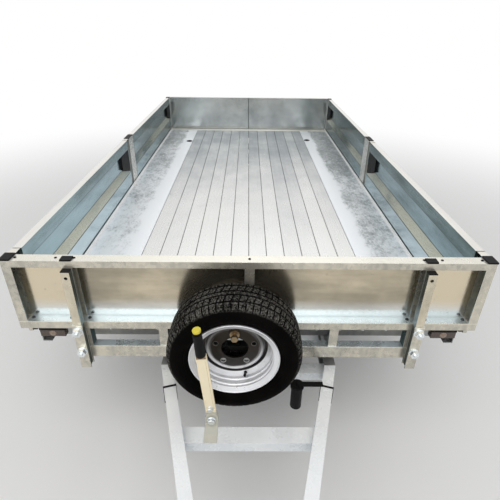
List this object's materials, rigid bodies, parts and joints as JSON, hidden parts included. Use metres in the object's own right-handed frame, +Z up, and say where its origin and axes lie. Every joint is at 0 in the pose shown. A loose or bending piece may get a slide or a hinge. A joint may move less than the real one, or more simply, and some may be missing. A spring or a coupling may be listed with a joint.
{
  "type": "tipping dropside trailer",
  "caption": "Twin-axle tipping trailer with a plank deck, folding dropsides and tailboard, headboard with ladder posts and spare wheel, A-frame drawbar and jockey wheel.",
  "frame": {"origin": "middle of the bounding box at ground level", "axes": "+X across to the right as seen from the drawbar, +Y rearwards, +Z up"},
  "size_m": [1.984, 5.188, 1.097],
  "materials": {
    "galvanised": "hot-dip galvanised",
    "galvanised_sheet": "galvanised sheet",
    "black_plastic": "matt",
    "tyre_rubber": "matt",
    "silver_paint": "silver paint",
    "rubber": "matt",
    "cast_grey": "galvanised casting",
    "marker_lens": "smooth lens",
    "red_lens": "smooth lens",
    "dark_paint": "dark paint",
    "bright_steel": "zinc plated"
  },
  "bodies": {
    "chassis": {"chassis_rails": "galvanised", "chassis_crossmembers": "galvanised", "ram_cradle": "galvanised", "drawbar": "galvanised", "coupling_body": "cast_grey", "coupling_gaiter": "rubber", "coupling_head": "bright_steel", "handbrake_lever": "galvanised", "handbrake_grip": "black_plastic", "axles": "galvanised", "bed_pads": "rubber", "hydraulic_pack": "dark_paint", "rear_light_bar": "galvanised", "rear_lamps": "red_lens", "parked_plug": "black_plastic", "jockey_sleeve": "galvanised"},
    "bed": {"bed_beams": "galvanised", "bed_bearers": "galvanised", "bed_edge_rails": "galvanised", "front_frame": "galvanised", "deck_planks": "galvanised_sheet", "deck_margins": "galvanised_sheet", "headboard_frame": "galvanised", "headboard_sheet": "galvanised_sheet", "ladder_posts": "galvanised", "clamp_bolts": "bright_steel", "post_caps": "black_plastic", "front_markers": "marker_lens", "side_posts": "galvanised", "hinge_brackets": "galvanised", "ram_bracket": "galvanised", "spare_carrier": "galvanised", "spare_rim": "silver_paint", "spare_tyre": "tyre_rubber"},
    "jockey_leg": {"jockey_leg": "bright_steel"},
    "jockey_fork": {"jockey_fork": "galvanised"},
    "jockey_wheel": {"jockey_wheel": "rubber"},
    "tailboard": {"tailboard": "galvanised_sheet", "tailboard_latches": "black_plastic"},
    "ram_barrel": {"ram_barrel": "dark_paint"},
    "ram_stage_one": {"ram_stage_one": "bright_steel"},
    "ram_stage_two": {"ram_stage_two": "bright_steel"},
    "ram_rod": {"ram_rod": "bright_steel"},
    "wheel_front_left": {"tyre_front_left": "tyre_rubber", "rim_front_left": "silver_paint"},
    "wheel_front_right": {"tyre_front_right": "tyre_rubber", "rim_front_right": "silver_paint"},
    "wheel_rear_left": {"tyre_rear_left": "tyre_rubber", "rim_rear_left": "silver_paint"},
    "wheel_rear_right": {"tyre_rear_right": "tyre_rubber", "rim_rear_right": "silver_paint"},
    "side_front_left": {"dropside_front_left": "galvanised_sheet", "latches_front_left": "black_plastic"},
    "side_front_right": {"dropside_front_right": "galvanised_sheet", "latches_front_right": "black_plastic"},
    "side_rear_left": {"dropside_rear_left": "galvanised_sheet", "latches_rear_left": "black_plastic"},
    "side_rear_right": {"dropside_rear_right": "galvanised_sheet", "latches_rear_right": "black_plastic"}
  },
  "joints": [
    {"name": "bed_tip", "type": "hinge", "parent": "chassis", "child": "bed", "pos_m": [0, 2.394, 0.54], "axis": [-1, 0, 0], "range_deg": [0, 45]},
    {"name": "wheel_spin_front_left", "type": "hinge", "parent": "chassis", "child": "wheel_front_left", "pos_m": [-0.841, 0.584, 0.276], "axis": [1, 0, 0], "continuous": true},
    {"name": "wheel_spin_front_right", "type": "hinge", "parent": "chassis", "child": "wheel_front_right", "pos_m": [0.841, 0.584, 0.276], "axis": [1, 0, 0], "continuous": true},
    {"name": "wheel_spin_rear_left", "type": "hinge", "parent": "chassis", "child": "wheel_rear_left", "pos_m": [-0.841, 1.204, 0.276], "axis": [1, 0, 0], "continuous": true},
    {"name": "wheel_spin_rear_right", "type": "hinge", "parent": "chassis", "child": "wheel_rear_right", "pos_m": [0.841, 1.204, 0.276], "axis": [1, 0, 0], "continuous": true},
    {"name": "fold_front_left", "type": "hinge", "parent": "bed", "child": "side_front_left", "pos_m": [-0.981, 0.744, 0.676], "axis": [0, -1, 0], "range_deg": [0, 178]},
    {"name": "fold_front_right", "type": "hinge", "parent": "bed", "child": "side_front_right", "pos_m": [0.981, 0.744, 0.676], "axis": [0, 1, 0], "range_deg": [0, 178]},
    {"name": "fold_rear_left", "type": "hinge", "parent": "bed", "child": "side_rear_left", "pos_m": [-0.981, 0.744, 0.676], "axis": [0, -1, 0], "range_deg": [0, 178]},
    {"name": "fold_rear_right", "type": "hinge", "parent": "bed", "child": "side_rear_right", "pos_m": [0.981, 0.744, 0.676], "axis": [0, 1, 0], "range_deg": [0, 178]},
    {"name": "fold_tailboard", "type": "hinge", "parent": "bed", "child": "tailboard", "pos_m": [0, 2.585, 0.676], "axis": [-1, 0, 0], "range_deg": [0, 178]},
    {"name": "jockey_wind", "type": "slide", "parent": "chassis", "child": "jockey_leg", "axis": [0, 0, 1], "range_m": [0, 0.17]},
    {"name": "jockey_swivel", "type": "hinge", "parent": "jockey_leg", "child": "jockey_fork", "pos_m": [0.185, -2.036, 0.228], "axis": [0, 0, 1], "continuous": true},
    {"name": "jockey_spin", "type": "hinge", "parent": "jockey_fork", "child": "jockey_wheel", "pos_m": [0.185, -1.988, 0.1], "axis": [1, 0, 0], "continuous": true},
    {"name": "ram_swing", "type": "hinge", "parent": "chassis", "child": "ram_barrel", "pos_m": [0, 1.4142, 0.34], "axis": [-1, 0, 0], "range_deg": [0, 22.5]},
    {"name": "ram_stage_one_slide", "type": "slide", "parent": "ram_barrel", "child": "ram_stage_one", "axis": [0, -0.0706, 0.9975], "range_m": [0, 0.24633]},
    {"name": "ram_stage_two_slide", "type": "slide", "parent": "ram_stage_one", "child": "ram_stage_two", "axis": [0, -0.0706, 0.9975], "range_m": [0, 0.24633]},
    {"name": "ram_rod_slide", "type": "slide", "parent": "ram_stage_two", "child": "ram_rod", "axis": [0, -0.0706, 0.9975], "range_m": [0, 0.24633]}
  ],
  "couplings": [
    {"joint": "ram_swing", "follows": "bed_tip", "ratio": 0.5},
    {"joint": "ram_stage_one_slide", "follows": "bed_tip", "m_per_rad": 0.31364},
    {"joint": "ram_stage_two_slide", "follows": "bed_tip", "m_per_rad": 0.31364},
    {"joint": "ram_rod_slide", "follows": "bed_tip", "m_per_rad": 0.31364}
  ]
}
